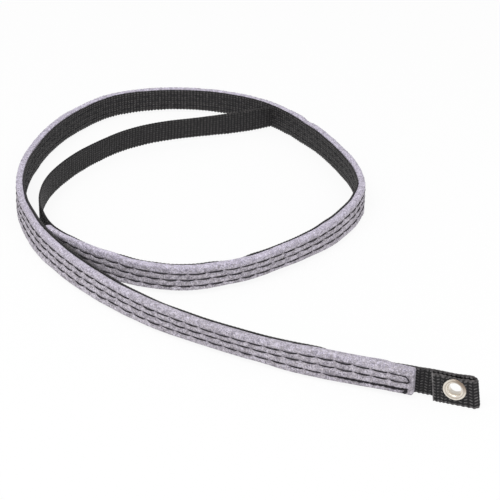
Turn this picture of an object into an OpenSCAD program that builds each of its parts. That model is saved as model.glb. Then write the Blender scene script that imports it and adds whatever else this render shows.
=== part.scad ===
// Webbing strap faced with a sewn felt strip, standing on its edge in a loose coil.
// One end of the webbing is folded back into a short tab that carries a metal eyelet;
// the other end runs on bare past the felt and rests against the outer turn.
//
// Frame: origin at the centre of the eyelet, +X out past the folded end, the felt faces -Y
// at the tab, +Z up. The strap is described along its length: distances run from the
// folded end, offsets run from the webbing's inner face out towards the felt.

/* [Webbing] */
// Width of the webbing, which is the height of the standing strap
webbing_w = 16; // [14:0.5:25]
// Thickness of the woven band
webbing_t = 1.6; // [1.2:0.1:2]

/* [Felt] */
// Thickness of the felt strip
felt_t = 4.5; // [2.5:0.1:5.5]
// Length of the felt strip
felt_len = 1085; // [700:5:1085]

/* [Folded tab] */
// Length of the folded double layer
tab_len = 25; // [22:0.5:40]
// Corner radius of the folded end
tab_corner_r = 1.5; // [0.5:0.1:3]
// Space between the two layers of the fold
fold_gap = 0.2; // [0.1:0.05:0.6]
// Single layer between the fold's cut end and the felt
neck_len = 9; // [8:0.5:20]

/* [Eyelet] */
// Bore through the eyelet's barrel
bore_d = 6.6; // [5:0.1:7.2]
// Outer diameter of the flange and of the washer
flange_d = 12.6; // [11.6:0.1:13.4]
// Height of the rolled flange over the webbing
flange_h = 0.9; // [0.5:0.1:1.3]
// Wall of the barrel
barrel_wall = 0.35; // [0.2:0.05:0.5]
// Thickness of the washer
washer_t = 0.4; // [0.3:0.05:0.8]
// Reach of the clenched lip over the washer
lip_reach = 0.9; // [0.6:0.1:1.2]
// Distance of the eyelet's centre from the folded end
eyelet_from_end = 13; // [11:0.5:15]

/* [Seams] */
// Thickness and width of the sewing thread
thread_t = 0.45; // [0.3:0.05:0.6]
// Lowest seam, up from the bottom edge
seam_low = 3.5; // [2:0.1:4]
// Middle seam, up from the lowest seam
seam_step = 4.2; // [2:0.1:4.5]
// Highest seam, down from the top edge
seam_high = 4.5; // [2:0.1:5]
// Distance of the seams' ends from the felt's ends
seam_end = 4.5; // [4:0.5:20]
// Length of one stitch
stitch_len = 8.9; // [2:0.1:12]
// Space between two stitches of a row
stitch_space = 1.4; // [0.5:0.1:3]
// Length of the back-tack at a seam's end
tack_len = 38; // [4:0.5:60]

/* [Bending places] */
// Bend in the lead, from the folded end
lead_bend_at = 215; // [120:5:280]
// Bend where the bare tail leaves the coil, past the end of the felt
tail_bend_past = 81; // [60:1:95]
// Second bend of the bare tail, past the first
tip_bend_past = 100; // [80:5:115]

/* [Hidden] */

$fn = 180;

// The way the strap lies, from the folded end to the outer turn where its tip rests:
// [length in steps, clockwise turn]
route_step = 5;
route = [[15, 0], [20, 15], [24, 24], [30, 40], [17, 21], [14, 54], [21, 62], [19, 18], [6, 13],
         [14, 39], [13, 17], [8, 18], [5, 31], [36, 97], [14, 22], [12, 32], [14, -11]];

ply_gap = 0.1;       // between webbing and felt
thread_gap = 0.12;   // between a thread and the face it lies on
set_gap = 0.05;      // between the eyelet, its washer and the webbing
knuckle_gap = 0.3;   // around the rounded end at a bending place
knuckle_spare = 0.2; // radius of a rounded end past what its swing needs
tab_swing = 60;      // largest turn at the neck
lead_swing = 45;     // largest turn in the lead
tail_swing = 30;     // largest turn at each bend of the tail
facet_len = 8;       // longest flat on a curved stretch
facet_turn = 3;      // largest turn between two flats
tip_gap = 1;         // between the cut tip and the end of the route
cut_over = 1;        // how far a cutting shape reaches past what it cuts

tab_t = 2 * webbing_t + fold_gap;
felt_in = webbing_t + ply_gap;
strap_t = felt_in + felt_t;
felt_from = tab_len + neck_len;
felt_to = felt_from + felt_len;
tab_bend_at = tab_len + neck_len / 2;
tail_bend_at = felt_to + tail_bend_past;
tip_bend_at = tail_bend_at + tip_bend_past;
bore_r = bore_d / 2;
flange_r = flange_d / 2;
barrel_r = bore_r + barrel_wall;
seam_zs = [seam_low - webbing_w / 2, seam_low + seam_step - webbing_w / 2, webbing_w / 2 - seam_high];
stitch_pitch = stitch_len + stitch_space;

// Radius that a rounded end needs to turn by swing inside its neighbour's cup
function knuckle_r(thickness, swing) = thickness / 2 / cos(swing / 2) + knuckle_spare;
tab_knuckle_r = knuckle_r(webbing_t, tab_swing);
tail_knuckle_r = knuckle_r(webbing_t, tail_swing);
lead_knuckle_r = knuckle_r(strap_t, lead_swing);

// A place on the strap is [x, y, heading]; go() walks from one along a stretch
function go(p, length, turn) =
    turn == 0
    ? [p.x + length * cos(p[2]), p.y + length * sin(p[2]), p[2]]
    : let (r = length / turn * 180 / PI)
      [p.x + r * (sin(p[2]) - sin(p[2] - turn)), p.y - r * (cos(p[2]) - cos(p[2] - turn)), p[2] - turn];

last = len(route) - 1;
lengths = [for (stretch = route) stretch[0] * route_step];
turns = [for (stretch = route) stretch[1]];
starts = [for (i = 0, s = 0; i <= last; s = s + lengths[i], i = i + 1) s];
places = [for (i = 0, p = [eyelet_from_end, tab_t / 2, 180]; i <= last;
               p = go(p, lengths[i], turns[i]), i = i + 1) p];
strap_len = starts[last] + lengths[last] - tip_gap;

function stretch_of(s) = max([for (i = [0 : last]) if (starts[i] <= s) i]);
function place_at(s) =
    let (i = stretch_of(s), along = s - starts[i])
    go(places[i], along, turns[i] * along / lengths[i]);

// Distances at which the strap's curves are divided into flats
flats = [for (i = [0 : last])
            let (n = ceil(max(lengths[i] / facet_len, abs(turns[i]) / facet_turn)))
            for (j = [0 : n - 1]) starts[i] + lengths[i] * j / n];
function divided(from, to) = concat([from], [for (s = flats) if (s > from && s < to) s], [to]);
function edge(places, offset) = [for (p = places) [p.x - offset * sin(p[2]), p.y + offset * cos(p[2])]];
function reversed(list) = [for (i = [len(list) - 1 : -1 : 0]) list[i]];

// A ply seen from above, between two distances along the strap and two offsets across it
module ply(from, to, inner, outer) {
    line = [for (s = divided(from, to)) place_at(s)];
    polygon(concat(edge(line, inner), reversed(edge(line, outer))));
}

// Moves its children to a distance along the strap, with X onwards and Y out towards the felt
module at(s) {
    p = place_at(s);
    translate([p.x, p.y, 0]) rotate([0, 0, p[2]]) children();
}

// The cup that a rounded end turns in, about the middle of the plies
module cup(s, thickness, r) at(s) translate([0, thickness / 2]) circle(r + knuckle_gap);

// What is cut off past a bend to leave a rounded end; side is 1 onwards and -1 back
module past_bend(s, thickness, r, side)
    at(s) difference() {
        translate([side > 0 ? 0 : -2 * r - cut_over, thickness / 2 - 2 * r]) square([2 * r + cut_over, 4 * r]);
        translate([0, thickness / 2]) circle(r);
    }

module raised() linear_extrude(webbing_w, center = true) children();

module webbing(from, to) ply(from, to, 0, webbing_t);
module felt(from, to) ply(from, to, felt_in, strap_t);

// The folded end seen from its face, with round corners
module tab_face() {
    back = 2 * tab_bend_at;
    translate([eyelet_from_end - back, -webbing_w / 2]) square([back - tab_corner_r, webbing_w]);
    translate([eyelet_from_end - back, tab_corner_r - webbing_w / 2])
        square([back, webbing_w - 2 * tab_corner_r]);
    for (side = [-1, 1])
        translate([eyelet_from_end - tab_corner_r, side * (webbing_w / 2 - tab_corner_r)]) circle(tab_corner_r);
}

// The fold seen from above: the layer that goes on, the bend and the layer laid back
module fold_plan() {
    round_x = eyelet_from_end - tab_t / 2;
    neck = tab_bend_at + 2 * tab_knuckle_r;
    difference() {
        union() {
            translate([round_x, 0]) circle(tab_t / 2);
            translate([eyelet_from_end - neck, tab_t / 2 - webbing_t]) square([neck - tab_t / 2, webbing_t]);
            translate([eyelet_from_end - tab_len, -tab_t / 2]) square([tab_len - tab_t / 2, tab_t]);
        }
        translate([round_x, 0]) circle(fold_gap / 2);
        translate([eyelet_from_end - tab_len - cut_over, -fold_gap / 2])
            square([round_x - eyelet_from_end + tab_len + cut_over, fold_gap]);
        past_bend(tab_bend_at, webbing_t, tab_knuckle_r, 1);
    }
}

module webbing_tab() color("#26262a")
    difference() {
        intersection() {
            raised() fold_plan();
            rotate([90, 0, 0]) linear_extrude(2 * tab_t, center = true) tab_face();
        }
        rotate([90, 0, 0]) cylinder(h = 2 * tab_t, r = barrel_r + set_gap, center = true);
    }

module webbing_lead() color("#26262a")
    raised() difference() {
        webbing(tab_bend_at, lead_bend_at + 2 * lead_knuckle_r);
        cup(tab_bend_at, webbing_t, tab_knuckle_r);
        past_bend(lead_bend_at, strap_t, lead_knuckle_r, 1);
    }

module webbing_coil() color("#26262a")
    raised() difference() {
        webbing(lead_bend_at, tail_bend_at);
        cup(lead_bend_at, strap_t, lead_knuckle_r);
        cup(tail_bend_at, webbing_t, tail_knuckle_r);
    }

module webbing_tail() color("#26262a")
    raised() difference() {
        webbing(tail_bend_at - 2 * tail_knuckle_r, tip_bend_at);
        past_bend(tail_bend_at, webbing_t, tail_knuckle_r, -1);
        cup(tip_bend_at, webbing_t, tail_knuckle_r);
    }

module webbing_tail_tip() color("#26262a")
    raised() difference() {
        webbing(tip_bend_at - 2 * tail_knuckle_r, strap_len);
        past_bend(tip_bend_at, webbing_t, tail_knuckle_r, -1);
    }

module felt_lead() color("#c3bccb")
    raised() difference() {
        felt(felt_from, lead_bend_at + 2 * lead_knuckle_r);
        past_bend(lead_bend_at, strap_t, lead_knuckle_r, 1);
    }

module felt_coil() color("#c3bccb")
    raised() difference() {
        felt(lead_bend_at, felt_to);
        cup(lead_bend_at, strap_t, lead_knuckle_r);
    }

// Nearer face of a thread from the webbing's inner face; side is 1 on the felt, -1 on the webbing
function thread_from(side) = side > 0 ? strap_t + thread_gap : -thread_gap - thread_t;

// A run of thread that follows the strap at one height
module thread_run(side, z, from, to, height)
    translate([0, 0, z - height / 2]) linear_extrude(height)
        ply(from, to, thread_from(side), thread_from(side) + thread_t);

// A row of stitches at one height, in whole stitches from one distance to another
module stitches(side, z, from, to)
    for (s = [from : stitch_pitch : to - stitch_len]) thread_run(side, z, s, s + stitch_len, thread_t);

// Half ring of thread that joins two rows; way is -1 back to the tab, 1 on to the tail
module seam_turn(side, s, z0, z1, way) {
    r = (z1 - z0) / 2;
    wide = r + thread_t;
    at(s) translate([0, thread_from(side) + thread_t, (z0 + z1) / 2]) rotate([90, 0, 0])
        linear_extrude(thread_t) difference() {
            circle(r + thread_t / 2);
            circle(r - thread_t / 2);
            translate([way > 0 ? -wide : 0, -wide]) square([wide, 2 * wide]);
        }
}

// Doubled stitches where a row starts or ends
module back_tack(side, s, z) thread_run(side, z, s, s + tack_len, 2 * thread_t);

module lead_seams(side) {
    from = felt_from + seam_end;
    for (z = [seam_zs[1], seam_zs[2]]) stitches(side, z, from + stitch_space, lead_bend_at);
    stitches(side, seam_zs[0], from + tack_len + stitch_space, lead_bend_at);
    seam_turn(side, from, seam_zs[1], seam_zs[2], -1);
    back_tack(side, from, seam_zs[0]);
}

module coil_seams(side) {
    from = lead_bend_at + lead_knuckle_r + knuckle_gap;
    to = felt_to - seam_end;
    for (z = [seam_zs[0], seam_zs[1]]) stitches(side, z, from, to - stitch_space);
    stitches(side, seam_zs[2], from, to - tack_len - stitch_space);
    seam_turn(side, to, seam_zs[0], seam_zs[1], 1);
    back_tack(side, to - tack_len, seam_zs[2]);
}

module needle_thread_lead() color("#2b2433") lead_seams(1);
module needle_thread_coil() color("#2b2433") coil_seams(1);
module bobbin_thread_lead() color("#1d1b22") lead_seams(-1);
module bobbin_thread_coil() color("#1d1b22") coil_seams(-1);

// Turns a section drawn as [radius, depth towards -Y] about the eyelet's axis
module turned() rotate([90, 0, 0]) rotate_extrude() children();

module eyelet() color("#d8cdbf") turned() {
    front = tab_t / 2 + set_gap;
    back = -tab_t / 2 - 2 * set_gap - washer_t;
    ring_w = flange_r - bore_r;
    dome_r = (ring_w * ring_w / 4 + flange_h * flange_h) / (2 * flange_h);
    // Rolled flange on the face of the tab
    intersection() {
        translate([bore_r + ring_w / 2, front + flange_h - dome_r]) circle(dome_r);
        translate([bore_r, front]) square([ring_w, flange_h]);
    }
    // Barrel through both layers and the washer
    translate([bore_r, back]) square([barrel_wall, front - back + flange_h / 10]);
    // Lip clenched over the washer
    intersection() {
        translate([bore_r + lip_reach / 2, back]) circle(lip_reach / 2);
        translate([bore_r, back - set_gap - lip_reach]) square([lip_reach, lip_reach + set_gap]);
    }
}

module eyelet_washer() color("#cfc5b8") turned() {
    edge = washer_t / 2;
    inner = barrel_r + set_gap;
    translate([inner, -tab_t / 2 - set_gap - washer_t]) square([flange_r - edge - inner, washer_t]);
    translate([flange_r - edge, -tab_t / 2 - set_gap - edge]) circle(edge);
}

webbing_tab();
webbing_lead();
webbing_coil();
webbing_tail();
webbing_tail_tip();
felt_lead();
felt_coil();
needle_thread_lead();
needle_thread_coil();
bobbin_thread_lead();
bobbin_thread_coil();
eyelet();
eyelet_washer();
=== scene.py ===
"""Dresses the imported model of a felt-faced webbing strap with an eyelet in its folded end."""

import math
from functools import lru_cache

import bmesh
import bpy
from mathutils import Matrix, Vector, noise


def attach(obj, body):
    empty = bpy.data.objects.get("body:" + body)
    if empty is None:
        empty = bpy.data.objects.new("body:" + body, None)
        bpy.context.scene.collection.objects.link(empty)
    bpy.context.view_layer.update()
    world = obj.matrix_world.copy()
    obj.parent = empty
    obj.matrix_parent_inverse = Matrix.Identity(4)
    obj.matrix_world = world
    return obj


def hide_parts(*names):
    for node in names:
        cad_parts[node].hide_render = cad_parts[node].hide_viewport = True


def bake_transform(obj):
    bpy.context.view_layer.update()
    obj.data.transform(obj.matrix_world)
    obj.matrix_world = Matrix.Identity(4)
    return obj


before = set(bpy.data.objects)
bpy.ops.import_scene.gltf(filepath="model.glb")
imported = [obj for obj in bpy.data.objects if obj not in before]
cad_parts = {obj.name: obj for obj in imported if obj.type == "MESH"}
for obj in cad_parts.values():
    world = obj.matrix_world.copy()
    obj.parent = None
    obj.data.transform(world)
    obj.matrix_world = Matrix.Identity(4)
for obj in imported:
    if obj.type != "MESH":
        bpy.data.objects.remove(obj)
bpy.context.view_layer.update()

bl_info = {
    "name": "Felt Faced Strap",
    "version": (1, 0, 0),
    "blender": (4, 5, 0),
    "location": "View3D > Sidebar > Strap",
    "description": "Woven, felt and metal pieces of a strap with an eyelet tab",
    "category": "Object",
}

MM = 0.001

# Stretches of the strap from its folded end: length in mm and clockwise turn in degrees
ROUTE = (
    (75, 0), (100, 15), (120, 24), (150, 40), (85, 21), (70, 54), (105, 62), (95, 18), (30, 13),
    (70, 39), (65, 17), (40, 18), (25, 31), (180, 97), (70, 22), (60, 32), (69, -11),
)
TAB_END = 13.0       # x of the folded end
TAB_HALF = 1.7       # half of the tab's two layers and the gap between them
TAB_LENGTH = 25.0    # from the folded end to the front layer's cut edge
LAYER = 1.6          # thickness of the webbing
FELT_IN = 1.7        # offset of the felt's back from the webbing's inner face
FELT_FROM, FELT_TO = 34.0, 1122.5
STRAP_END = 1410.2   # the tail's cut edge
RIB = 2.45           # length of one rib of the weave
FLOATS = 9           # warp floats across the webbing

# Where the pieces meet, on whole ribs, and where the two lengths of each thread meet
TAB_SEAM, LEAD_SEAM, COIL_SEAM, TAIL_SEAM = (RIB * n for n in (49, 245, 453, 510))
THREAD_SEAM = 270.0


def smooth(edge0, edge1, x):
    """A soft step from 0 at edge0 to 1 at edge1."""
    t = min(1.0, max(0.0, (x - edge0) / (edge1 - edge0)))
    return t * t * (3 - 2 * t)


def eased(points, x, column=1):
    """Value at x on a soft line through points (x, value, ...), from one of their columns."""
    if x <= points[0][0]:
        return points[0][column]
    for a, b in zip(points, points[1:]):
        if x < b[0]:
            return a[column] + (b[column] - a[column]) * smooth(a[0], b[0], x)
    return points[-1][column]


def bell(x, centre, width):
    """A bell curve: 1 at the centre, 0.37 at a width from it."""
    return math.exp(-(((x - centre) / width) ** 2))


def go(place, length, turn):
    """The place reached from a place (x, y, heading) along one stretch."""
    x, y, heading = place
    a = math.radians(heading)
    if not turn:
        return x + length * math.cos(a), y + length * math.sin(a), heading
    r, b = length / math.radians(turn), math.radians(heading - turn)
    return x + r * (math.sin(a) - math.sin(b)), y - r * (math.cos(a) - math.cos(b)), heading - turn


STARTS, PLACES = [0.0], [(TAB_END, TAB_HALF, 180.0)]
for _length, _turn in ROUTE:
    STARTS.append(STARTS[-1] + _length)
    PLACES.append(go(PLACES[-1], _length, _turn))


@lru_cache(maxsize=None)
def along(s):
    """Place (x, y, heading) of the webbing's inner face, s mm from the folded end."""
    i = 0
    while i + 1 < len(ROUTE) and STARTS[i + 1] <= s:
        i += 1
    length, turn = ROUTE[i]
    return go(PLACES[i], s - STARTS[i], turn * (s - STARTS[i]) / length)


# How the strap stands, by distance along it: outward shift at mid height, and how much further
# outward its upper edge is than its lower edge, LEAN_HEIGHT below it
LEAN_HEIGHT = 16
STANCE = (
    (60, 0, 0), (92, -0.3, -0.6), (125, -0.1, 1.2), (155, -0.2, 1.5), (185, -0.3, 0.3),
    (215, -0.6, -1.0), (245, -0.95, -2.3), (275, -1.0, -3.1), (305, -0.95, -2.9), (335, -0.8, -2.5),
    (365, -0.2, -1.2), (400, 0, 0), (840, 0, 0), (865, -0.7, -1.4), (885, -1.0, -2.2),
    (905, -0.3, -2.0), (925, 0.1, 0.2), (945, 0.4, 0.8), (985, 1.3, 2.0), (1001, 0.3, 0.2),
    (1025, 0.2, 0.3), (1045, -0.4, -0.7), (1064, -1.0, -1.5), (1095, -1.0, -1.3), (1124, 0.2, 0.4),
    (1145, 0, 0), (1190, -0.1, 0), (1240, 0, 0), (1300, 0.7, -1.5), (1345, -0.1, -1.8), (1380, -0.6, 0),
)


@lru_cache(maxsize=None)
def stance(s):
    """Outward shift and lean of the strap, s mm along it."""
    return eased(STANCE, s, 1), eased(STANCE, s, 2)


def placed(place, s, o, z):
    """The point o mm outward of a place (x, y, heading) and z mm up, in metres."""
    x, y, heading = place
    a = math.radians(heading)
    shift, lean = stance(s)
    o += shift + lean * z / LEAN_HEIGHT
    return Vector(((x - o * math.sin(a)) * MM, (y + o * math.cos(a)) * MM, z * MM))


def strap_point(s, o, z):
    """The point s mm along the strap, o mm outward of the inner face and z mm up, in metres."""
    return placed(along(s), s, o, z)


# Two points that mark out each joint between pieces
TAB_BEND = ((-0.0208, 0.0009, 0), (-0.0124, 0.0009, 0))
LEAD_BEND, TAIL_BEND, TIP_BEND = (
    [strap_point(s, LAYER / 2, 0) for s in stretch]
    for stretch in ((188, 242), (1168, 1232), (1270, 1330))
)


def wander(s, seed, size=1.0):
    """A slow unevenness of hand-sewn cloth, about -1 to 1."""
    return noise.noise(Vector((s / (24 * size), seed * 7.3, 0.4)))


# ---- mesh helpers


def band(bm, stations, columns, put):
    """Adds one closed band: a ring of points for each station, joined and capped.

    put(i, j) gives the point of ring i and column j, and the values of its attributes."""
    rows = len(stations) - 1
    where = bm.verts.layers.float_vector.get("strap") or bm.verts.layers.float_vector.new("strap")
    tone = bm.verts.layers.float.get("relief") or bm.verts.layers.float.new("relief")
    grid = bmesh.ops.create_grid(bm, x_segments=rows, y_segments=columns, size=1)["verts"]
    cache = {}
    for v in grid:
        i = round((v.co.x + 1) / 2 * rows)
        j = round((v.co.y + 1) / 2 * columns) % columns
        if (i, j) not in cache:
            cache[i, j] = put(i, j)
        v.co, v[where], v[tone] = cache[i, j]
    bmesh.ops.remove_doubles(bm, verts=grid, dist=1e-8)
    rim = [e for e in bm.edges if e.is_boundary]
    for e in rim:
        e.smooth = False
    bmesh.ops.holes_fill(bm, edges=rim, sides=0)


def finish_mesh(bm, name, material):
    """Turns a bmesh into an object with outward faces and smooth shading."""
    bmesh.ops.recalc_face_normals(bm, faces=bm.faces)
    for f in bm.faces:
        f.smooth = len(f.verts) <= 4
    mesh = bpy.data.meshes.new(name)
    bm.to_mesh(mesh)
    bm.free()
    mesh.materials.append(material)
    obj = bpy.data.objects.new(name, mesh)
    bpy.context.scene.collection.objects.link(obj)
    return obj


# ---- shader helpers


class Wire:
    """A shader socket; sums and products of wires become Math nodes."""

    def __init__(self, tree, socket):
        self.tree, self.socket = tree, socket

    def math(self, operation, a, b):
        """One Math node of two wires or values."""
        node = self.tree.nodes.new("ShaderNodeMath")
        node.operation = operation
        for socket, value in zip(node.inputs, (a, b)):
            if isinstance(value, Wire):
                self.tree.links.new(value.socket, socket)
            else:
                socket.default_value = value
        return Wire(self.tree, node.outputs[0])

    def __add__(self, other):
        return self.math("ADD", self, other)

    def __sub__(self, other):
        return self.math("SUBTRACT", self, other)

    def __mul__(self, other):
        return self.math("MULTIPLY", self, other)

    def __pow__(self, other):
        return self.math("POWER", self, other)


class Finish:
    """The nodes of a material, or of a world, under construction."""

    def __init__(self, name, kind="materials"):
        self.owner = getattr(bpy.data, kind).new(name)
        self.owner.use_nodes = True
        self.tree = self.owner.node_tree
        self.tree.nodes.clear()

    def node(self, kind, settings, inputs, output=0):
        """One node: its settings first, then the values or wires of its sockets."""
        node = self.tree.nodes.new("ShaderNode" + kind)
        for key, value in settings.items():
            setattr(node, key, value)
        for key, value in inputs.items():
            if isinstance(value, Wire):
                self.tree.links.new(value.socket, node.inputs[key])
            else:
                node.inputs[key].default_value = value
        return Wire(self.tree, node.outputs[output]) if node.outputs else None

    def strap(self):
        """Place on the strap: distance along it, outward offset and height, in metres."""
        return self.node("Attribute", {"attribute_name": "strap"}, {}, "Vector")

    def relief(self):
        """How far a point stands out, 0 for a groove and 1 for a crest."""
        return self.node("Attribute", {"attribute_name": "relief"}, {}, "Fac")

    def axis(self, vector, letter):
        """One axis of a vector."""
        return self.node("SeparateXYZ", {}, {"Vector": vector}, letter)

    def stretched(self, vector, scale):
        """A vector scaled by axis."""
        return self.node("Mapping", {}, {"Vector": vector, "Scale": scale})

    def grain(self, vector, scale, detail=2.0, rough=0.5):
        """Noise, mostly between 0.3 and 0.7."""
        return self.node("TexNoise", {}, {"Vector": vector, "Scale": scale, "Detail": detail,
                                          "Roughness": rough})

    def ranged(self, value, low, high, to_low=0.0, to_high=1.0):
        """A value brought from the range low..high into the range to_low..to_high."""
        return self.node("MapRange", {}, {"Value": value, "From Min": low, "From Max": high,
                                          "To Min": to_low, "To Max": to_high})

    def mix(self, factor, a, b):
        """A colour between a and b, b where the factor is 1."""
        a, b = (x if isinstance(x, Wire) else (*x, 1) for x in (a, b))
        return self.node("Mix", {"data_type": "RGBA"}, {0: factor, 6: a, 7: b}, 2)

    def bump(self, height, strength, distance):
        """A normal that shows heights as bumps."""
        return self.node("Bump", {}, {"Strength": strength, "Distance": distance,
                                      "Height": height}, "Normal")

    def close(self, shader):
        """Ends the material with a shader."""
        self.node("OutputMaterial", {}, {"Surface": shader})
        return self.owner

    def surface(self, inputs):
        """Ends the material with one principled shader."""
        return self.close(self.node("BsdfPrincipled", {}, inputs))


def webbing_finish(colours):
    """Dull black woven polyester: painted highlights on the crests of the floats, and painted shade
    deepening the black between them.
    """
    m = Finish("webbing_weave")
    strap = m.strap()
    distance, height = m.axis(strap, "X"), m.axis(strap, "Z")
    fibres = m.grain(m.stretched(strap, (0.35, 1, 1)), 9000, 3, 0.6)
    wear = m.grain(strap, 520, 3, 0.6)
    # Painted highlight on the crests of the floats, by their relief
    crest = m.ranged(m.relief(), 0.45, 1.0) ** 1.6
    lit = crest * m.ranged(fibres, 0.3, 0.72, 0.55, 1.3) * m.ranged(wear, 0.37, 0.64, 0.3, 1.5)
    # The painted highlights of the floats are dimmer just behind the tab's front layer, and fade on the
    # coil and the tail
    far = m.ranged(distance, 0.06, 0.2)
    lit = lit * (far * -0.3 + 0.85) + far * 0.03 + 0.05
    lit = lit * m.ranged(distance, 0.019, 0.022, 1.0, 0.75) * m.ranged(distance, 0.04, 0.1, 1.0, 1.333)
    lit = lit * m.ranged(distance, 1.12, 1.2, 1.0, 0.68)
    base = m.mix(lit, colours.webbing_black_valley_shade, colours.webbing_crest_highlight)
    # The woven edges are pale on the tab and the tail's tip, and only a little between them
    edge = m.ranged(m.node("Math", {"operation": "ABSOLUTE"}, {0: height}), 0.0072, 0.0080)
    edge = edge * m.ranged(distance, 0.02, 0.05, 1.0, 0.15) * m.ranged(distance, 1.33, 1.36, 1.0, 6.6)
    base = m.mix(edge * m.ranged(wear, 0.4, 0.62, 0.1, 0.9), base, colours.webbing_edge)
    cut = m.ranged(distance, -0.0240, -0.0234, 0.9, 0.0)
    base = m.mix(cut * m.ranged(wear, 0.35, 0.6, 0.4, 1.0), base, colours.webbing_fray)
    return m.surface({
        "Base Color": base, "Roughness": m.ranged(fibres, 0.3, 0.7, 0.6, 0.46),
        "Specular IOR Level": 0.2, "Normal": m.bump(fibres, 0.4, 0.0002)})


def felt_finish(colours):
    """Matt grey felt with a lilac cast, mottled dark and light, with painted light on its upper edge.
    """
    m = Finish("felt_wool")
    strap = m.strap()
    distance, height = m.axis(strap, "X"), m.axis(strap, "Z")
    clouds = m.grain(strap, 430, 3, 0.6)
    flecks = m.grain(strap, 1350, 3, 0.65)
    hairs = m.grain(m.stretched(strap, (0.5, 1, 1)), 2600, 3, 0.7)
    hue = m.grain(strap, 900, 2)
    mottle = m.ranged(flecks * 0.52 + hairs * 0.16 + clouds * 0.32, 0.43, 0.57)
    face = m.mix(mottle, colours.felt_shade, colours.felt_light)
    # A lit copy of the felt for its upper edge: painted light from above, with a bluer cast
    top = m.mix(mottle, colours.felt_lit_top_dark, colours.felt_lit_top_light)
    # Painted light on the upper edge, weaker along the lead near the tab
    lit = m.ranged(height, 0.0040, 0.0080) * m.ranged(distance, 0.19, 0.26, 0.4, 0.85)
    base = m.mix(lit, face, top)
    base = m.mix(m.ranged(distance, 0.17, 0.24, 0.08, 0.0), base, colours.felt_shade)
    # Painted shadow below a slanting line where the lead crosses close in front of it
    above = height + 0.003 - (distance - 1.07) * 0.2
    lead_shadow = m.ranged(distance, 1.060, 1.08, 0.0, 0.8) * m.ranged(distance, 1.101, 1.107, 1.0, 0.0)
    base = m.mix(lead_shadow * m.ranged(above, 0.0031, 0.0009), base, colours.felt_crossing_shadow)
    # Worn in patches near the tab
    worn = m.ranged(m.grain(strap, 120, 2, 0.5), 0.5, 0.64, 0.0, 0.3)
    base = m.mix(worn * m.ranged(distance, 0.12, 0.18, 1.0, 0.0), base, colours.felt_shade)
    base = m.mix(m.ranged(hue, 0.42, 0.6, 0.0, 0.3), base, colours.felt_warm)
    # Painted shade in the grooves of the seams
    base = m.mix(m.ranged(m.relief(), 0.0, 1.0, 0.6, 0.0), base, colours.felt_seam_shade)
    bumps = hairs * 0.5 + flecks * 0.9
    return m.surface({
        "Base Color": base, "Roughness": 0.95, "Specular IOR Level": 0.12,
        "Sheen Weight": 0.1, "Sheen Roughness": 0.6, "Normal": m.bump(bumps, 0.9, 0.0006)})


def twisted(name, dark, light):
    """Twisted thread, with painted shade in the valleys of the twist."""
    m = Finish(name)
    twist = m.node("TexWave", {"wave_type": "BANDS", "bands_direction": "DIAGONAL"},
                   {"Vector": m.strap(), "Scale": 700.0, "Distortion": 0.6})
    return m.surface({
        "Base Color": m.mix(twist, dark, light), "Roughness": 0.6, "Specular IOR Level": 0.3,
        "Normal": m.bump(twist, 0.5, 0.0001)})


def thread_finish(colours):
    """Black needle thread."""
    return twisted("sewing_thread", colours.thread_twist_shade, colours.thread_light)


def bobbin_finish(colours):
    """Bobbin thread, as dull as the webbing it lies on."""
    return twisted("bobbin_thread", colours.thread_twist_shade, colours.bobbin_light)


def metal_finish(colours):
    """Pale warm nickel plating, with painted brown shade in its grooves, and faint handling marks."""
    m = Finish("plated_metal")
    place = m.node("TexCoord", {}, {}, "Object")
    marks = m.grain(place, 900, 3, 0.6)
    smudge = m.grain(place, 260, 2)
    plate = m.mix(m.ranged(smudge, 0.35, 0.65), colours.metal_shade, colours.metal_bright)
    # Painted brown shade in the grooves and the bore
    base = m.mix(m.ranged(m.relief(), 0.0, 1.0), colours.metal_groove_shade, plate)
    # Painted shade, darker up and towards the folded end
    across = m.node("VectorMath", {"operation": "DOT_PRODUCT"}, {0: place, 1: (0.62, 0, 0.78)}, "Value")
    base = m.mix(m.ranged(across, 0.0026, 0.0058, 0.0, 0.95), base, colours.metal_groove_shade)
    return m.surface({
        "Base Color": base, "Metallic": 1.0, "Roughness": m.ranged(marks, 0.3, 0.7, 0.34, 0.46),
        "Normal": m.bump(marks, 0.08, 0.0002)})


# ---- settings


def length_in_m(name, description, default):
    """A length setting, in metres."""
    return bpy.props.FloatProperty(name=name, description=description, default=default,
                                   unit="LENGTH", subtype="DISTANCE", min=0.0)


def colour(name, description, default):
    """A colour setting."""
    return bpy.props.FloatVectorProperty(name=name, description=description, default=default,
                                         subtype="COLOR", size=3, min=0.0, max=1.0)


class StrapSizes(bpy.types.PropertyGroup):
    """Sizes of the strap's surfaces."""

    webbing_height: length_in_m("Webbing height", "Height of the webbing on edge", 0.016)
    float_depth: length_in_m("Float depth", "Depth between the warp floats", 0.00036)
    rib_depth: length_in_m("Rib depth", "Depth between the ribs", 0.0004)
    zigzag: length_in_m("Zigzag", "Sideways run of a float within one rib", 0.0010)
    scallop: length_in_m("Scallop", "Swing of the woven edge from rib to rib", 0.00034)
    felt_thickness: length_in_m("Felt thickness", "Thickness of the felt", 0.0045)
    seam_depth: length_in_m("Seam depth", "Depth of the groove under a row of stitches", 0.0005)
    pinch_depth: length_in_m("Pinch depth", "Extra depth where a stitch dives", 0.00035)
    felt_fuzz: length_in_m("Felt unevenness", "Height of the felt's fine unevenness", 0.0002)
    thread_radius: length_in_m("Thread radius", "Radius of the sewing thread", 0.0003)
    flange_radius: length_in_m("Flange radius", "Outer radius of the eyelet's flange", 0.0065)
    bore_radius: length_in_m("Bore radius", "Radius of the eyelet's bore", 0.0033)


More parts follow.
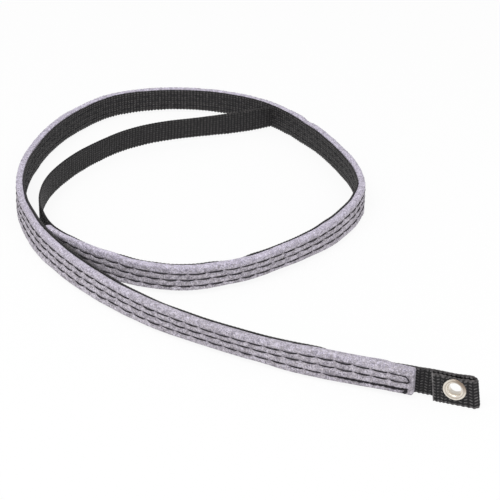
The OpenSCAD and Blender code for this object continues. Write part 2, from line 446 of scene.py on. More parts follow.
class StrapColours(bpy.types.PropertyGroup):
    """Colours of the strap's materials."""

    # Painted highlight on the crests of the floats; painted shade deepens the webbing's black between
    # them
    webbing_crest_highlight: colour("Webbing crest", "Warp floats", (0.165, 0.156, 0.158))
    webbing_black_valley_shade: colour("Webbing valley", "Between the floats", (0.0045, 0.0045, 0.005))
    webbing_edge: colour("Selvedge", "Woven edge", (0.12, 0.11, 0.11))
    webbing_fray: colour("Fray", "Loose fibres of a cut end", (0.2, 0.19, 0.19))
    felt_light: colour("Felt light", "Light fibres", (0.75, 0.705, 0.80))
    felt_shade: colour("Felt shade", "Dark fibres", (0.215, 0.196, 0.235))
    # Lit copy of the felt for its upper edge: painted light from above, with a bluer cast
    felt_lit_top_light: colour("Felt edge light", "Light fibres of the upper edge", (0.82, 0.765, 0.945))
    felt_lit_top_dark: colour("Felt edge shade", "Dark fibres of the edge", (0.36, 0.33, 0.42))
    felt_warm: colour("Felt warm", "Warmer fibres", (0.47, 0.43, 0.41))
    # Painted shade in the grooves of the seams
    felt_seam_shade: colour("Felt seam", "Soiled seam line", (0.17, 0.15, 0.18))
    # Painted shadow where the lead crosses close in front of the felt
    felt_crossing_shadow: colour("Felt crossing", "Felt the lead rubs on", (0.06, 0.052, 0.06))
    # Painted shade in the valleys of the twist
    thread_twist_shade: colour("Thread dark", "Valleys of the twist", (0.006, 0.005, 0.007))
    thread_light: colour("Thread light", "Crests of the twist", (0.015, 0.012, 0.018))
    bobbin_light: colour("Bobbin thread", "Thread on the webbing", (0.075, 0.07, 0.072))
    metal_bright: colour("Metal", "Plating", (0.93, 0.88, 0.80))
    metal_shade: colour("Metal shade", "Duller plating", (0.80, 0.74, 0.65))
    # Painted brown shade in the eyelet's grooves and bore
    metal_groove_shade: colour("Metal groove", "Tarnish in the groove", (0.30, 0.23, 0.18))
    floor_colour: colour("Floor", "Studio floor", (0.90, 0.90, 0.90))


# ---- webbing

EYELET_SEAT = (0.0009, 0, -0.0002)           # how far the set eyelet has crept in the webbing
EYELET_TILT = math.radians(-3)
PUNCH_RADIUS, PUNCH_LENGTH = 0.0043, 0.012   # of the hole for the eyelet
FOLD_CENTRE = TAB_END - TAB_HALF             # x where the fold's bend begins
FRONT_RUN = TAB_LENGTH - TAB_HALF            # straight part of the front layer
FOLD_RUN = math.pi * (TAB_HALF - LAYER / 2)  # centre line round the fold
FOLD_AT, FOLD_TO = FRONT_RUN + FOLD_RUN / 2, FRONT_RUN + FOLD_RUN
TAB_WHOLE = FOLD_TO - TAB_HALF               # from the front layer's cut edge to distance 0
EDGE_BULGE, EDGE_THIN = 0.35, 0.25           # how the woven edge bulges out and thins
FLOAT_SHAPE = (1.0, 0.34, 0.0, 0.34)         # depth across one float, 1 between the floats
RIB_DIP = 0.24                               # share of a rib that dips at each of its ends


def fold_place(t):
    """Place (x, y, heading) and strap distance of the folded end, t mm from the cut edge."""
    s = t - FRONT_RUN - FOLD_RUN + TAB_HALF
    if t < FRONT_RUN:
        return (TAB_END - TAB_LENGTH + t, -TAB_HALF, 0.0), s
    if t < FOLD_TO:
        turn = (t - FRONT_RUN) / FOLD_RUN * 180
        a = math.radians(turn)
        return (FOLD_CENTRE + TAB_HALF * math.sin(a), -TAB_HALF * math.cos(a), turn), s
    return along(s), s


def weave(sizes, s, column):
    """Zigzag shift, sunk depth and relief of the weave at distance s and quarter float column."""
    rib = s / RIB
    phase = rib - math.floor(rib)
    swing = abs((rib % 2) - 1) * 2 - 1
    between = FLOAT_SHAPE[column % 4]
    ends = max(0.0, 1 - min(phase, 1 - phase) / RIB_DIP) ** 1.3
    depth = between * sizes.float_depth / MM + (1 - between) * ends * sizes.rib_depth / MM
    # The relief that carries the painted highlights grows plainer further along the strap
    plain = 1 - 0.5 * smooth(60, 200, s)
    relief = 1 - min(1.0, between * plain + (1 - between * plain) * ends * 0.95)
    return swing * sizes.zigzag / MM / 2, depth, relief


def webbing_section(faced):
    """Columns round the webbing: side (in, top, out, bottom), share along it, weave column."""
    cells = FLOATS * 4
    outer = 6 if faced else cells
    shares = (0.25, 0.5, 0.75)
    section = [("in", j / cells, j) for j in range(cells + 1)]
    section += [("top", share, 0) for share in shares]
    section += [("out", 1 - j / outer, 0 if faced else cells - j) for j in range(outer + 1)]
    return section + [("bottom", share, 0) for share in shares]


# Middle height and half height of the folded end's webbing, by distance from its cut edge
TAB_LEVELS = (
    (FRONT_RUN - 1.2, -1.6, 8.6), (FOLD_AT, -0.9, 8.3), (FOLD_TO + 1.2, 1.0, 8.0),
    (FOLD_TO + 12, 0.5, 7.9), (FOLD_TO + 25, -0.1, 8.0), (FOLD_TO + 40, 0, 8.0),
)
# Drop of the webbing's upper edge, by distance along the strap
TOP_DROP = (
    (14, 0), (24, -0.3), (34, 0.1), (54, 0.7), (80, 0.7), (90, -0.2), (104, 0), (136, -0.2), (165, 0),
    (190, 0.4), (216, 0.3), (240, 0), (330, -0.2), (400, 0), (430, 0), (442, 0.65), (451, 1.0),
    (462, 0.4), (474, 0), (490, -0.35), (512, -0.2), (522, 0), (531, 0.48), (548, 0.15), (560, -0.34),
    (575, 0), (590, 0.4), (612, 0.35), (640, 0), (655, -0.15), (678, -0.55), (720, -0.5), (731, -0.05),
    (750, -0.3), (768, 0), (785, 0.37), (802, 0.55), (822, 0.5), (850, 0), (960, 0), (974, -0.4),
    (984, 0.6), (992, 0.6), (1002, 0), (1032, 0), (1042, 0.4), (1056, 0), (1066, 0.3), (1084, 0.2),
    (1096, 0.2), (1106, 0.5), (1126, 0.3), (1145, 0), (1240, 0), (1268, 0.3), (1292, 0),
)
# Sag of the webbing's lower edge, by distance along the strap
BOTTOM_SAG = (
    (400, 0), (430, 0.5), (446, 1.1), (460, 0.5), (475, 0), (500, -0.1), (532, 0.65), (562, 0.1),
    (586, 0.4), (612, 0), (660, 0.1), (704, 0.8), (712, 0.3), (724, 0.7), (750, 0), (772, 0.5),
    (792, 0.9), (830, 0.3), (860, 0), (1150, -0.1), (1178, 1.2), (1200, 0.8), (1222, 0.4), (1240, 0),
    (1300, 0.1), (1358, -0.2), (1384, 0.3), (1398, 0.4), (1408, 0),
)


# How the tab lies: shift, slant per mm of height and reach of its fold and of its cut edge, and
# how far the upper edge of its back layer leans outward
FOLD_SHIFT, FOLD_SLANT, FOLD_REACH = 0.86, 0.14, 14
CUT_SHIFT, CUT_SLANT, CUT_REACH = 0.6, 0.11, 9
BACK_LEAN = 0.8


def pressed(x, z):
    """How far the tab's front layer rises round the eyelet, most up and towards the fold, in mm."""
    r = math.hypot(x - 0.6, z + 0.2)
    over = max(0.0, (x * 0.62 + z * 0.78) / max(r, 0.1))
    return bell(r, 8.0, 1.6) * 0.25 + over ** 3 * bell(r, 6.9, 1.1) * 0.95


def set_in_tab(spot, t, s, level, middle):
    """Moves a point of the tab as its fold slants, its back layer leans and its eyelet lifts it."""
    skew = smooth(FOLD_AT - FOLD_REACH, FOLD_AT, t) * (1 - smooth(FOLD_AT, FOLD_AT + FOLD_REACH, t))
    spot.x += (FOLD_SHIFT - FOLD_SLANT * level) * skew * MM
    spot.x -= (CUT_SLANT * (level - middle) - CUT_SHIFT) * (1 - smooth(0, CUT_REACH, t)) * MM
    if t < FRONT_RUN:
        spot.y -= pressed(spot.x / MM, level) * MM
    elif t > FOLD_TO:
        spot.y -= BACK_LEAN * smooth(5.9, 7.6, level) * (1 - smooth(10, 30, s)) * MM


def webbing_band(bm, sizes, stations, faced, tabbed):
    """One length of webbing. faced: the felt hides its outer face. tabbed: it has the fold."""
    section = webbing_section(faced)

    def put(i, j):
        t = stations[i]
        if tabbed:
            place, s = fold_place(t)
            middle, half = eased(TAB_LEVELS, t, 1), eased(TAB_LEVELS, t, 2)
        else:
            place, s = along(t), t
            middle, half = 0.0, sizes.webbing_height / MM / 2
        side, share, column = section[j]
        shift, depth, relief = weave(sizes, s, column)
        if tabbed:
            depth *= 1 - 0.6 * bell(t, FOLD_AT, 2.5)
        scallop = sizes.scallop / MM * (math.cos(2 * math.pi * s / RIB) + 0.5 * wander(s * 7, 5))
        scallop *= 1 + 0.4 * smooth(300, 450, s)
        if side == "top":
            scallop *= 0.35
        edge = half - EDGE_BULGE
        if side in ("in", "out"):
            z = (2 * share - 1) * edge
            z += shift * (1 - (z / edge) ** 6)
            o = depth if side == "in" else LAYER - depth
            if side == "out" and faced:
                o = LAYER
            # More painted highlight towards the tab's edges
            if tabbed:
                rim = smooth(edge - 0.9, edge - 0.2, abs(z))
                relief += (0.8 - relief) * rim
            crown = smooth(edge - 0.8, edge, abs(z)) * EDGE_THIN
            o += crown if side == "in" else -crown
        else:
            a = share * math.pi
            up = 1 if side == "top" else -1
            o = LAYER / 2 - up * math.cos(a) * (LAYER / 2 - EDGE_THIN)
            z = up * (edge + (EDGE_BULGE + scallop) * math.sin(a))
            swing = 0.2 if tabbed else 0.5
            relief = 1 - swing + swing * math.cos(2 * math.pi * s / RIB)
        level = z + middle
        if s > 0:
            level -= (eased(TOP_DROP, s) * smooth(0, half, z)
                      + eased(BOTTOM_SAG, s) * smooth(0, half, -z))
        spot = placed(place, s, o, level)
        if tabbed:
            set_in_tab(spot, t, s, level, middle)
        return spot, Vector((s, o, z)) * MM, relief

    band(bm, stations, len(section), put)


def rib_stations(start, stop):
    """Stations on quarter ribs from start to stop."""
    first, last = math.ceil(start / RIB * 4 - 1e-6), math.floor(stop / RIB * 4 + 1e-6)
    stations = [n * RIB / 4 for n in range(first, last + 1)]
    if stations[0] - start > 0.05:
        stations.insert(0, start)
    if stop - stations[-1] > 0.05:
        stations.append(stop)
    return stations


# ---- felt

# Height of each row of stitches, from the top one, by distance along the strap
ROW_HEIGHTS = (
    ((40, 3.6), (80, 4.5), (111, 3.7), (140, 3.4), (185, 3.6), (1040, 3.6), (1062, 4.3)),
    ((60, -0.2), (80, 0.1), (130, 0.0), (170, -0.2), (1040, -0.2), (1062, 0.5)),
    ((0, -4.3), (80, -4.7), (125, -4.2), (155, -3.9), (190, -4.3), (250, -4.4), (1040, -4.4),
     (1062, -3.8)),
)
# Distance along the strap and number of some needle holes of each row; the rest are between them
HOLES = (
    ((48, 0), (211.5, 16), (343, 28), (1119, 103)),
    ((47.7, 0), (108, 6), (117, 7), (148, 10), (158.5, 11), (212, 16), (343.5, 28), (861.5, 79),
     (916, 84), (973, 89), (1002, 92), (1020.5, 94), (1068.5, 99), (1119, 104)),
    ((74.9, 0), (116, 4), (145, 7), (208.5, 13), (220.5, 14), (360.5, 27), (870.5, 77),
     (915, 81), (974, 86), (994.5, 88), (1022, 91), (1062, 95), (1119, 100.5)),
)
TACK_FROM, TACK_TO = 37.0, 75.0           # ends of the lower row's back-tacking
TACK_LENGTH, TACK_PITCH = 3.6, 3.75
CELLS = (5, 7, 7, 7)                      # cells between the felt's edges and rows
SEAM_HALF, SEAM_REACH = 0.55, 3.5         # half width of a groove, and its reach in half widths
FELT_ROUND = 0.9                          # radius of the felt's long corners
CUT_ROUND = 1.3                           # radius of its cut ends
FELT_STEP = 0.53                          # between its stations
# Height of the felt's lower and upper edge, and share of its thickness, by distance
FELT_LOW = (
    (34, -7.9), (48, -7.7), (66, -8.1), (98, -8.5), (125, -7.9), (155, -8.0), (190, -8.35), (250, -8.4),
    (285, -8.3), (300, -8.7), (345, -8.95), (360, -9.2), (400, -8.2), (850, -8.8), (864, -8.7),
    (872, -8.4), (888, -8.0), (918, -8.2), (936, -7.6), (955, -7.1), (968, -7.3), (978, -7.6),
    (992, -7.2), (1006, -7.6),
)
FELT_HIGH = (
    (34, 8.0), (44, 8.2), (52, 9.1), (62, 8.7), (92, 8.6), (102, 8.0), (200, 7.7), (230, 7.4),
    (330, 7.35), (440, 7.8), (500, 8.7), (510, 8.85), (520, 8.4), (532, 7.9), (550, 8.15), (560, 8.55),
    (570, 8.15), (590, 8.15), (601, 8.0), (620, 8.05), (630, 8.0), (641, 8.1), (655, 8.2), (668, 8.35),
    (690, 8.4), (700, 8.1), (710, 8.9), (720, 8.9), (730, 8.0), (737, 8.8), (748, 8.8), (760, 8.6),
    (770, 8.4), (780, 7.95), (790, 8.15), (800, 8.25), (814, 7.8), (830, 7.3), (860, 7.9), (974, 8.1),
    (983, 8.5), (992, 8.5), (1001, 8.2), (1054, 8.2), (1064, 8.9), (1073, 8.9), (1082, 9.1),
    (1094, 8.2), (1106, 7.6),
)
FELT_THICK = (
    (190, 1.0), (240, 0.84), (345, 0.82), (400, 1.0), (850, 1.0), (868, 0.87), (890, 0.87), (905, 1.0),
    (1035, 1.0), (1064, 0.8), (1110, 0.8), (1119, 0.9),
)
# How far the felt's lower edge is splayed outward, by distance along the strap
FELT_SPLAY = ((845, 0), (856, 0.5), (866, 0.35), (890, 0.25), (905, 0))


def straight(points, x, at=0, give=1):
    """Value on the straight lines through points, and past their ends.

    at and give are the columns of the points that hold x and the value."""
    k = 1
    while k < len(points) - 1 and points[k][at] <= x:
        k += 1
    a, b = points[k - 1], points[k]
    return a[give] + (b[give] - a[give]) * (x - a[at]) / (b[at] - a[at])


def hole(row, number):
    """Distance along the strap of a row's needle hole."""
    return straight(HOLES[row], number, 1, 0)


@lru_cache(maxsize=None)
def row_height(row, s):
    """Height of a row of stitches, 0 the top one."""
    return eased(ROW_HEIGHTS[row], s) + 0.16 * wander(s, 3 + row, 0.6)


@lru_cache(maxsize=None)
def stitch_phase(row, s):
    """Distance from s to the nearest needle hole of a row."""
    return s - hole(row, round(straight(HOLES[row], s)))


@lru_cache(maxsize=None)
def felt_edges(s):
    """Heights of the felt's lower and upper edge."""
    return (eased(FELT_LOW, s) + 0.3 * wander(s, 12, 0.5),
            eased(FELT_HIGH, s) + 0.3 * wander(s, 11, 0.5))


def felt_outer(sizes, s, z):
    """Offset of the felt's outer face, with the seams drawn in, and how deep a seam is there."""
    sunk = 0.0
    for row in range(3):
        off = (z - row_height(row, s)) / SEAM_HALF
        if abs(off) < SEAM_REACH:
            # The back-tacked stretch shows no single holes
            phase = 3.0 if row == 2 and s < TACK_TO else abs(stitch_phase(row, s))
            drawn = sizes.seam_depth * (1 - 0.3 * bell(phase, 0, 0.5))
            drawn += sizes.pinch_depth * bell(phase, 0.7, 0.5)
            sunk = max(sunk, bell(off, 0, 1) * drawn / MM)
    thickness = sizes.felt_thickness / MM * eased(FELT_THICK, s)
    splay = eased(FELT_SPLAY, s) * (1 - smooth(-8.5, -5.5, z))
    return FELT_IN + thickness + splay - sunk + 0.25 * wander(s, 20, 1.2), sunk


def felt_section():
    """Columns round the felt: side, and share along it or column on the face."""
    shares = (0.12, 0.3, 0.5, 0.7, 0.88)
    section = [("out", j, 0.0) for j in range(sum(CELLS) + 1)]
    section += [("top", 0, share) for share in shares]
    section += [("in", 0, share) for share in (0.0, 0.2, 0.4, 0.6, 0.8, 1.0)]
    return section + [("bottom", 0, share) for share in shares]


def felt_levels(s):
    """Heights of the columns on the felt's outer face at distance s."""
    low, high = felt_edges(s)
    marks = [low + FELT_ROUND, *(row_height(row, s) for row in (2, 1, 0)), high - FELT_ROUND]
    levels = [marks[0]]
    for cells, a, b in zip(CELLS, marks, marks[1:]):
        levels += [a + (b - a) * (k + 1) / cells for k in range(cells)]
    return levels


def felt_band(bm, sizes, stations, ends):
    """One length of felt. ends: which of its two ends are cut edges."""
    section = felt_section()
    levels = [felt_levels(s) for s in stations]

    def put(i, j):
        s = stations[i]
        side, column, share = section[j]
        low, high = felt_edges(s)
        shrink = 0.0
        for end, is_cut in zip((FELT_FROM, FELT_TO), ends):
            d = abs(s - end)
            if is_cut and d < CUT_ROUND:
                shrink = CUT_ROUND - math.sqrt(max(0.0, CUT_ROUND ** 2 - (CUT_ROUND - d) ** 2))
        relief = 1.0
        if side == "out":
            z = levels[i][column]
            o, sunk = felt_outer(sizes, s, z)
            relief = 1 - min(1.0, sunk / (sizes.seam_depth / MM) * 0.8)
            o -= shrink
        elif side == "in":
            o, z = FELT_IN, (high - 0.3) * (1 - share) + (low + 0.3) * share
        else:
            crest, r = (high, FELT_ROUND) if side == "top" else (low, -FELT_ROUND)
            inward = share if side == "top" else 1 - share
            outer = felt_outer(sizes, s, crest - r)[0] - shrink
            o = outer - (outer - FELT_IN) * inward
            arc = min(1.0, inward / 0.3)
            z = crest - r * (1 - math.sqrt(max(0.0, 1 - (1 - arc) ** 2)))
            if inward > 0.75:
                z -= r * 0.3 * ((inward - 0.75) / 0.25) ** 2
        middle = (high + low) / 2
        z = middle + (z - middle) * (1 - shrink / 8)
        if side != "in":
            spot = Vector((s, o * 1.2, z))
            fuzz = noise.noise(spot * 0.7) * 0.6 + noise.noise(spot * 1.7) * 0.55
            fuzz *= sizes.felt_fuzz / MM * 2
            o += fuzz
            if side in ("top", "bottom"):
                z += fuzz
        return strap_point(s, o, z), Vector((s, o, z)) * MM, relief

    band(bm, stations, len(section), put)


def felt_stations(start, stop, cut_start, cut_stop):
    """Stations from start to stop, closer together at a cut end."""
    count = round((stop - start) / FELT_STEP)
    stations = [start + (stop - start) * n / count for n in range(count + 1)]
    if cut_start:
        stations = [start, start + 0.08, start + 0.3] + stations[1:]
    if cut_stop:
        stations = stations[:-1] + [stop - 0.3, stop - 0.08, stop]
    return stations


# ---- stitches

THREAD_SIDES, PATH_STEPS = 6, 6
DIVE = 1.4                # how deep a stitch's ends dive
LAST_HOLE = FELT_TO - 4   # where the rows of stitches end


def thread(bm, points, radius):
    """A thread through points (s, o, z, thickness) in strap mm."""
    path = [Vector(p[:3]) for p in points]

    def put(i, j):
        ahead = path[min(i + 1, len(path) - 1)] - path[max(i - 1, 0)]
        ahead.normalize()
        out = Vector((0, 1, 0))
        out = (out - ahead * out.dot(ahead)).normalized()
        side = ahead.cross(out)
        a = 2 * math.pi * j / THREAD_SIDES
        q = path[i] + (out * math.cos(a) + side * math.sin(a)) * radius * points[i][3]
        return strap_point(*q), q * MM, 0.5

    band(bm, path, THREAD_SIDES, put)


# Share of a stitch's length, how far it has sunk there (1 at its ends) and its thickness
STITCH_SHAPE = (
    (0, 1.0, 0.7), (0.02, 0.6, 0.8), (0.05, 0.2, 0.95), (0.11, -0.02, 1.1), (0.22, -0.1, 1.15),
    (0.38, -0.12, 1.12), (0.55, -0.1, 1.05), (0.7, -0.06, 0.98), (0.82, 0.0, 0.9), (0.91, 0.1, 0.85),
    (0.965, 0.4, 0.8), (1, 1.0, 0.7),
)


def stitch_points(ends, surface, outward, sag, thick):
    """A stitch lying on a face between two needle holes (s, z), sagging a little."""
    (s0, z0), (s1, z1) = ends
    points = []
    for share, sink, width in STITCH_SHAPE:
        s = s0 + (s1 - s0) * share
        z = z0 + (z1 - z0) * share - sag * math.sin(math.pi * share) ** 1.5
        points.append((s, surface(s, z) - outward * sink * DIVE, z, width * thick))
    return points


def face_surface(sizes, side):
    """Offset at which the thread's centre lies on a side of the strap, and which way is out."""
    radius = sizes.thread_radius / MM
    if side == "needle":
        return (lambda s, z: felt_outer(sizes, s, z)[0] + radius * 0.75), 1
    return (lambda s, z: radius * 0.2), -1


def stitch_row(bm, sizes, side, row, numbers):
    """One row of stitches on one side, from each numbered needle hole to the next."""
    surface, outward = face_surface(sizes, side)
    for number in numbers:
        s0, s1 = hole(row, number), hole(row, number + 1)
        gap = 0.18 + 0.3 * wander(s0 * 9, 31 + row)
        slip = 0.2 * wander(s0 * 13, 41 + row)
        ends = ((s0 + gap, row_height(row, s0 + gap) + 0.05 + slip),
                (s1 - gap, row_height(row, s1 - gap) + 0.02 + slip))
        sag = 0.2 + 0.3 * wander(s0 * 11, 61 + row)
        thick = 1.05 + 0.25 * wander(s0 * 15, 71 + row)
        thin = 1.0 if side == "needle" else 0.6
        thread(bm, stitch_points(ends, surface, outward, sag, thick * thin),
               sizes.thread_radius / MM)


def smooth_path(points):
    """Points on a soft curve through the given ones, PATH_STEPS to each stretch."""
    pts = [Vector(p) for p in points]
    pts = [pts[0] * 2 - pts[1]] + pts + [pts[-1] * 2 - pts[-2]]
    out = []
    for a, b, c, d in zip(pts, pts[1:], pts[2:], pts[3:]):
        for k in range(PATH_STEPS):
            t = k / PATH_STEPS
            out.append(0.5 * ((2 * b) + (c - a) * t + (2 * a - 5 * b + 4 * c - d) * t * t
                              + (3 * b - a - 3 * c + d) * t ** 3))
    out.append(pts[-2])
    return out


def end_stitching(bm, sizes, side):
    """The turn that joins the two upper rows and the backstitched start of the lower row."""
    surface, outward = face_surface(sizes, side)
    radius = sizes.thread_radius / MM

    def lay(points, thick=1.0, sink=0.0):
        path = smooth_path([(s, 0, z) for s, z in points])
        laid = [(p.x, surface(p.x, p.z) - outward * sink, p.z, thick) for p in path]
        for end in (0, -1):
            s, o, z, thickness = laid[end]
            laid[end] = (s, o - outward * 1.2, z, thickness)
        thread(bm, laid, radius)

    top, mid = row_height(0, 41), row_height(1, 42)
    lay([(48.0, row_height(0, 48) + 0.1), (45, row_height(0, 45) - 0.05), (40.6, top - 0.1)])
    lay([(40.9, top - 0.15), (38.2, top - 0.5), (36.9, top - 1.3)])
    lay([(37.0, top - 1.2), (36.4, 1.1), (36.6, 0.2)], 1.05)
    lay([(36.6, 0.3), (37.6, mid - 0.25), (40.4, mid - 0.3)], 1.15)
    lay([(39.8, mid - 0.2), (43.2, mid - 0.45), (46.9, mid - 0.2)])
    for k, (lift, phase) in enumerate(((0.27, 0.0), (-0.27, 1.9))):
        s = TACK_FROM + phase
        while s + TACK_LENGTH < TACK_TO + 1.5:
            low = row_height(2, s) + lift + 0.3 * wander(s * 5, 50 + k)
            lay([(s, low + 0.1), (s + 1.9, low - 0.16), (s + TACK_LENGTH, low - 0.1)], 1.45)
            s += TACK_PITCH
    # Loose ends below the lower row
    lay([(38.8, -4.5), (38.0, -5.1), (38.6, -5.9), (39.4, -6.3)], 1.7, -0.05)
    lay([(38.2, -4.6), (37.3, -5.3), (37.9, -6.2), (38.6, -6.7)], 1.7, -0.05)


# ---- operators

STAGE_MIDDLE, FLOOR = (-0.16, 0.12), -0.0104   # the floor is at the tab's lowest edge
CAMERA, CAMERA_AIM = (0.12927, -0.71270, 0.43898), (-0.16052, 0.12843, -0.0075)
CAMERA_ROLL, LAMP_SIZE = math.radians(1.0), 1.2


class StrapPiece:
    """What every piece's operator shares."""

    bl_options = {"REGISTER", "UNDO"}

    @staticmethod
    def settings(context):
        """The scene's sizes and colours."""
        return context.scene.strap_sizes, context.scene.strap_colours


def finish_of(name, make, colours):
    """The named material, made once."""
    return bpy.data.materials.get(name) or make(colours)


def mount(obj, node, slot, bodies, bend):
    """Puts an object in a node's place, on a body when it has one; an object between two bodies stays
    where it is, unbent.
    """
    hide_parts(node)
    if len(bodies) == 1:
        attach(obj, bodies[0])
    else:
        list(bodies)
        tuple(bend[0])
        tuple(bend[1])
        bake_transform(obj)


def looking(place, aim, roll=0.0):
    """Matrix of a camera or a lamp at a place, looking at its aim."""
    turn = (Vector(aim) - Vector(place)).to_track_quat("-Z", "Y").to_matrix().to_4x4()
    return Matrix.Translation(place) @ turn @ Matrix.Rotation(roll, 4, "Z")


class STRAP_OT_camera(StrapPiece, bpy.types.Operator):
    """Adds the camera"""

    bl_idname = "strap.camera"
    bl_label = "Camera"

    def execute(self, context):
        data = bpy.data.cameras.new("camera")
        data.lens, data.sensor_width = 113.0, 36.0
        data.clip_start, data.clip_end = 0.01, 20.0
        camera = bpy.data.objects.new("camera", data)
        context.scene.collection.objects.link(camera)
        camera.matrix_world = looking(CAMERA, CAMERA_AIM, CAMERA_ROLL)
        context.scene.camera = camera
        return {"FINISHED"}


class STRAP_OT_webbing(StrapPiece, bpy.types.Operator):
    """Weaves the webbing, from its folded end to its cut tail"""

    bl_idname = "strap.webbing"
    bl_label = "Webbing"

    def execute(self, context):
        sizes, colours = self.settings(context)
        material = finish_of("webbing_weave", webbing_finish, colours)
        for part, start, stop, faced, bodies, bend in (
            ("tab", -TAB_WHOLE, TAB_SEAM, False, ("lead", "tab"), TAB_BEND),
            ("lead", TAB_SEAM, LEAD_SEAM, True, ("lead", "coil"), LEAD_BEND),
            ("coil", LEAD_SEAM, COIL_SEAM, True, ("coil",), None),
            ("tail", COIL_SEAM, TAIL_SEAM, False, ("coil", "tail"), TAIL_BEND),
            ("tail_tip", TAIL_SEAM, STRAP_END, False, ("tail", "tail_tip"), TIP_BEND),
        ):
            bm = bmesh.new()
            tabbed = part == "tab"
            stations = rib_stations(start, stop)
            if tabbed:
                stations = [s + TAB_WHOLE for s in stations]
            webbing_band(bm, sizes, stations, faced, tabbed)
            obj = finish_mesh(bm, f"{part}_webbing", material)
            if tabbed:
                self.pierce(context, obj)
            mount(obj, f"webbing_{part}", "webbing", bodies, bend)
            (stations[-1] - stations[0]) * MM
        return {"FINISHED"}

    @staticmethod
    def pierce(context, obj):
        """Punches the eyelet's hole through both layers."""
        bm = bmesh.new()
        bmesh.ops.create_cone(bm, cap_ends=True, segments=48, radius1=PUNCH_RADIUS,
                              radius2=PUNCH_RADIUS, depth=PUNCH_LENGTH,
                              matrix=Matrix.Translation(EYELET_SEAT)
                              @ Matrix.Rotation(math.pi / 2, 4, "X"))
        punch = finish_mesh(bm, "punch", obj.data.materials[0])
        cut = obj.modifiers.new("hole", "BOOLEAN")
        cut.operation, cut.solver, cut.object = "DIFFERENCE", "EXACT", punch
        context.view_layer.update()
        shape = bpy.data.meshes.new_from_object(obj.evaluated_get(context.evaluated_depsgraph_get()))
        obj.modifiers.clear()
        obj.data = shape
        bpy.data.objects.remove(punch)


class STRAP_OT_felt(StrapPiece, bpy.types.Operator):
    """Lays the felt on the webbing's outer face"""

    bl_idname = "strap.felt"
    bl_label = "Felt"

    def execute(self, context):
        sizes, colours = self.settings(context)
        material = finish_of("felt_wool", felt_finish, colours)
        for part, start, stop, ends, bodies in (
            ("lead", FELT_FROM, LEAD_SEAM, (True, False), ("lead", "coil")),
            ("coil", LEAD_SEAM, FELT_TO, (False, True), ("coil",)),
        ):
            bm = bmesh.new()
            felt_band(bm, sizes, felt_stations(start, stop, *ends), ends)
            obj = finish_mesh(bm, f"{part}_felt", material)
            mount(obj, f"felt_{part}", "felt", bodies, LEAD_BEND)
        return {"FINISHED"}


class STRAP_OT_stitches(StrapPiece, bpy.types.Operator):
    """Sews the three rows of stitches, seen on the felt and on the webbing"""

    bl_idname = "strap.stitches"
    bl_label = "Stitches"

    def execute(self, context):
        sizes, colours = self.settings(context)
        materials = {"needle": finish_of("sewing_thread", thread_finish, colours),
                     "bobbin": finish_of("bobbin_thread", bobbin_finish, colours)}
        for side, material in materials.items():
            for part, bodies in (("lead", ("lead", "coil")), ("coil", ("coil",))):
                bm = bmesh.new()
                for row in range(3):
                    split = round(straight(HOLES[row], THREAD_SEAM))
                    last = math.floor(straight(HOLES[row], LAST_HOLE))
                    numbers = range(0, split) if part == "lead" else range(split, last)
                    stitch_row(bm, sizes, side, row, numbers)
                if part == "lead":
                    end_stitching(bm, sizes, side)
                obj = finish_mesh(bm, f"{part}_{side}_thread", material)
                mount(obj, f"{side}_thread_{part}", f"{side}_thread", bodies, LEAD_BEND)
        return {"FINISHED"}


def profile_of(*stretches):
    """Joins stretches of a turned profile into points (radius, height, tone), in mm.

    Each stretch counts from its own radius and height. Tone is 0 for painted shade, 1 for bright
    plating."""
    return [(radius + r, height + h, tone)
            for radius, height, points in stretches for r, h, tone in points]


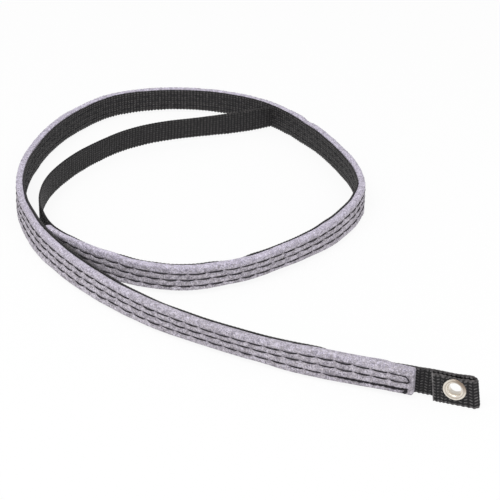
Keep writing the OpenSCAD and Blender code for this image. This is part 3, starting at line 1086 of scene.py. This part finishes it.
class STRAP_OT_eyelet(StrapPiece, bpy.types.Operator):
    """Sets the eyelet and its washer in the tab"""

    bl_idname = "strap.eyelet"
    bl_label = "Eyelet"

    def execute(self, context):
        sizes, colours = self.settings(context)
        material = finish_of("plated_metal", metal_finish, colours)
        rim, bore = sizes.flange_radius / MM, sizes.bore_radius / MM
        front, back = TAB_HALF, -TAB_HALF
        eyelet = profile_of(
            (bore, back, ((0.1, -0.2, 1.0), (0.16, 1.9, 1.0))),
            (bore, front, ((0.36, -0.5, 1.0), (0.6, 0.1, 1.0), (0.95, 0.5, 1.0), (1.3, 0.62, 1.0),
                           (1.55, 0.5, 0.8), (1.78, 0.42, 0.35), (1.98, 0.44, 0.5), (2.2, 0.58, 0.9))),
            (rim, front, ((-0.5, 0.72, 1.0), (-0.2, 0.62, 1.0), (0, 0.34, 1.0), (-0.02, 0.04, 0.6),
                          (-0.3, -0.12, 0.3), (-0.9, 0.05, 0.3))),
            (bore, front, ((1.3, 0.3, 0.3), (0.8, 0.1, 0.3), (0.46, -0.5, 0.3))),
            (bore, back, ((0.46, -0.32, 0.3), (0.7, -0.5, 0.5), (1.1, -0.52, 0.8), (1.3, -0.66, 1.0),
                          (1.1, -0.84, 1.0), (0.7, -0.88, 1.0), (0.32, -0.66, 0.8))),
        )
        washer = profile_of(
            (bore, back, ((0.42, -0.02, 0.5),)),
            (rim, back, ((-0.2, -0.02, 0.5), (0, -0.14, 0.8), (0, -0.3, 1.0), (-0.2, -0.42, 1.0))),
            (bore, back, ((1.5, -0.46, 0.4), (0.6, -0.42, 0.6), (0.42, -0.32, 0.8))),
        )
        for name, profile, node in (("eyelet_ring", eyelet, "eyelet"),
                                    ("eyelet_back_washer", washer, "eyelet_washer")):
            bm = bmesh.new()
            tone = bm.verts.layers.float.new("relief")
            corners = []
            for r, out, bright in profile:
                corner = bm.verts.new((r * MM, -out * MM, 0))
                corner[tone] = bright
                corners.append(corner)
            edges = [bm.edges.new((a, b)) for a, b in zip(corners, corners[1:] + corners[:1])]
            bmesh.ops.spin(bm, geom=corners + edges, cent=(0, 0, 0), axis=(0, 1, 0),
                           angle=2 * math.pi, steps=96, use_merge=True)
            bmesh.ops.remove_doubles(bm, verts=bm.verts, dist=1e-7)
            obj = finish_mesh(bm, name, material)
            seat = Matrix.Translation(EYELET_SEAT)
            if name == "eyelet_ring":
                seat = seat @ Matrix.Rotation(EYELET_TILT, 4, Vector((-0.8388, 0, 0.5444)))
            obj.data.transform(seat)
            rounded = obj.modifiers.new("rounding", "SUBSURF")
            rounded.levels = rounded.render_levels = 1
            mount(obj, node, node, ("tab",), None)
        return {"FINISHED"}


class STRAP_OT_stage(StrapPiece, bpy.types.Operator):
    """Adds the floor and the studio light"""

    bl_idname = "strap.stage"
    bl_label = "Studio"

    def execute(self, context):
        colours = context.scene.strap_colours
        bm = bmesh.new()
        bmesh.ops.create_grid(bm, x_segments=1, y_segments=1, size=6,
                              matrix=Matrix.Translation((*STAGE_MIDDLE, FLOOR)))
        m = Finish("studio_floor")
        rays = [m.node("LightPath", {}, {}, name)
                for name in ("Is Camera Ray", "Is Glossy Ray", "Is Transmission Ray")]
        seen = m.node("Math", {"operation": "MINIMUM"}, {0: rays[0] + rays[1] + rays[2], 1: 1.0})
        matt = m.node("BsdfDiffuse", {}, {"Color": (*colours.floor_colour, 1)})
        white = m.node("Emission", {}, {"Color": (1, 1, 1, 1), "Strength": 1.0})
        floor = finish_mesh(bm, "floor", m.close(
            m.node("MixShader", {}, {0: seen * 0.9, 1: matt, 2: white})))

        sky = Finish("studio", "worlds")
        context.scene.world = sky.owner
        soft, plain = (sky.node("Background", {}, {"Color": (1, 1, 1, 1), "Strength": strength})
                       for strength in (0.62, 1.0))
        seen = sky.node("LightPath", {}, {}, "Is Camera Ray")
        sky.node("OutputWorld", {}, {
            "Surface": sky.node("MixShader", {}, {0: seen, 1: soft, 2: plain})})

        for name, spot, energy in (("key", (-0.5, -0.9, 1.6), 16.0), ("fill", (0.9, -0.6, 1.2), 6.0)):
            data = bpy.data.lights.new(name, "AREA")
            data.energy, data.size = energy, LAMP_SIZE
            lamp = bpy.data.objects.new(name, data)
            context.scene.collection.objects.link(lamp)
            lamp.matrix_world = looking(spot, (*STAGE_MIDDLE, 0))
        context.scene.view_settings.view_transform = "Standard"
        return {"FINISHED"}


class STRAP_PT_pieces(bpy.types.Panel):
    """Lists the strap's pieces and their settings"""

    bl_idname = "STRAP_PT_pieces"
    bl_label = "Felt Faced Strap"
    bl_space_type = "VIEW_3D"
    bl_region_type = "UI"
    bl_category = "Strap"

    def draw(self, context):
        for operator in OPERATORS:
            self.layout.operator(operator.bl_idname)
        for group in (context.scene.strap_sizes, context.scene.strap_colours):
            box = self.layout.box()
            for name in group.__annotations__:
                box.prop(group, name)


OPERATORS = (STRAP_OT_camera, STRAP_OT_webbing, STRAP_OT_felt, STRAP_OT_stitches,
             STRAP_OT_eyelet, STRAP_OT_stage)
CLASSES = (StrapSizes, StrapColours, *OPERATORS, STRAP_PT_pieces)


def register():
    """Adds the classes, and their settings to every scene."""
    for cls in CLASSES:
        bpy.utils.register_class(cls)
    bpy.types.Scene.strap_sizes = bpy.props.PointerProperty(type=StrapSizes)
    bpy.types.Scene.strap_colours = bpy.props.PointerProperty(type=StrapColours)


def unregister():
    """Takes out what register added."""
    del bpy.types.Scene.strap_colours
    del bpy.types.Scene.strap_sizes
    for cls in reversed(CLASSES):
        bpy.utils.unregister_class(cls)


def main():
    """Builds the strap and its stage."""
    register()
    for operator in (bpy.ops.strap.camera, bpy.ops.strap.webbing, bpy.ops.strap.felt,
                     bpy.ops.strap.stitches, bpy.ops.strap.eyelet, bpy.ops.strap.stage):
        operator()


if __name__ == "__main__":
    main()
